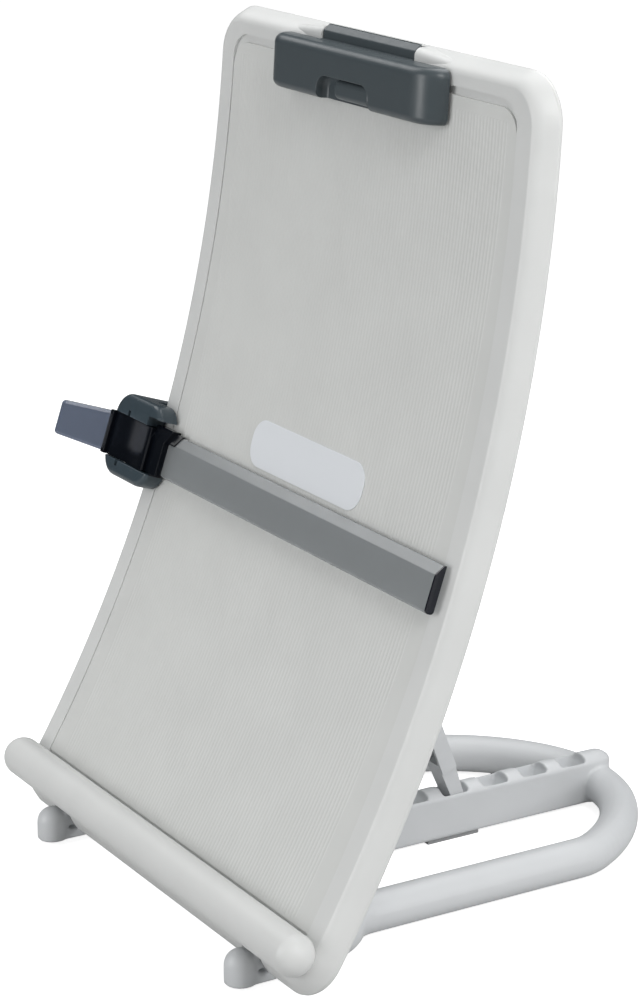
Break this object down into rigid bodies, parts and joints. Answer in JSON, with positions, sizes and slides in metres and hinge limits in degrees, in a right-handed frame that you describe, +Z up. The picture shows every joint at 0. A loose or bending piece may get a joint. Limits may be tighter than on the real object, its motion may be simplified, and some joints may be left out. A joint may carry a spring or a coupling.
{
  "type": "document holder",
  "caption": "Desk document holder with a curved ribbed board, sprung page clip, sliding line guide and a notched ratchet base.",
  "frame": {"origin": "centre of the rail pad's underside, on the desk and on the holder's plane of symmetry", "axes": "+X to the reader's right, +Y away from the reader, +Z up"},
  "size_m": [0.2876, 0.2428, 0.351],
  "materials": {
    "board_plastic": "fine satin moulded plastic, warm light grey",
    "base_plastic": "satin moulded plastic, cool light grey",
    "ribbed_plastic": "finely ribbed light grey plastic",
    "plate_plastic": "bare glossy off-white plate",
    "clip_plastic": "satin dark blue-grey plastic",
    "carriage_plastic": "glossy dark blue-grey plastic",
    "rocker_plastic": "glossy near-black plastic",
    "lever_clear": "tinted see-through plastic, blue-grey",
    "bar_clear": "smoky see-through plastic",
    "cap_plastic": "near-black polished end",
    "pad_rubber": "matt black rubber",
    "pin_steel": "ground steel",
    "screw_steel": "zinc plated steel",
    "spring_steel": "spring wire"
  },
  "bodies": {
    "base": {"base_loop": "base_plastic", "ratchet_rail": "base_plastic", "hinge_pins": "pin_steel", "front_pads": "pad_rubber", "rear_pads": "pad_rubber", "rail_pad": "pad_rubber"},
    "board": {"board_shell": "board_plastic", "ribbed_sheet": "ribbed_plastic", "rear_cover": "board_plastic", "cover_screws": "screw_steel", "ledge_bar": "board_plastic", "label_plate": "plate_plastic", "strut_bracket": "board_plastic", "bracket_screws": "screw_steel", "strut_pin": "pin_steel", "clip_pin": "pin_steel"},
    "strut": {"prop_strut": "base_plastic"},
    "clip": {"clip_jaw": "clip_plastic", "clip_grip_pad": "pad_rubber", "clip_spring": "spring_steel"},
    "carriage": {"carriage_front": "carriage_plastic", "carriage_back": "carriage_plastic", "carriage_screws": "screw_steel", "friction_shoe": "pad_rubber", "rocker_pin": "pin_steel"},
    "rocker": {"rocker_block": "rocker_plastic", "rocker_spring": "spring_steel", "guide_lever": "lever_clear", "bar_holder": "rocker_plastic", "guide_bar": "bar_clear", "bar_end_cap": "cap_plastic"}
  },
  "joints": [
    {"name": "board_tilt", "type": "hinge", "parent": "base", "child": "board", "pos_m": [0, -0.1427, 0.01259], "axis": [1, 0, 0], "range_deg": [0, 12]},
    {"name": "strut_swing", "type": "hinge", "parent": "board", "child": "strut", "pos_m": [0, -0.05546, 0.17057], "axis": [1, 0, 0], "range_deg": [-4.9, 0]},
    {"name": "clip_open", "type": "hinge", "parent": "board", "child": "clip", "pos_m": [0, -0.04009, 0.34544], "axis": [-1, 0, 0], "range_deg": [0, 25], "stiffness_Nm_per_rad": 0.15, "springref_deg": -17.19},
    {"name": "guide_travel", "type": "hinge", "parent": "board", "child": "carriage", "pos_m": [-0.12412, -0.70892, 0.37302], "axis": [0.9999, -0.0051, -0.0151], "range_deg": [-9.8, 12]},
    {"name": "guide_rocker", "type": "hinge", "parent": "carriage", "child": "rocker", "pos_m": [-0.131, -0.08187, 0.16076], "axis": [0, -0.3206, -0.9472], "range_deg": [0, 6], "stiffness_Nm_per_rad": 0.05, "springref_deg": -11.46}
  ],
  "couplings": [
    {"joint": "strut_swing", "follows": "board_tilt", "ratio": -0.4}
  ]
}
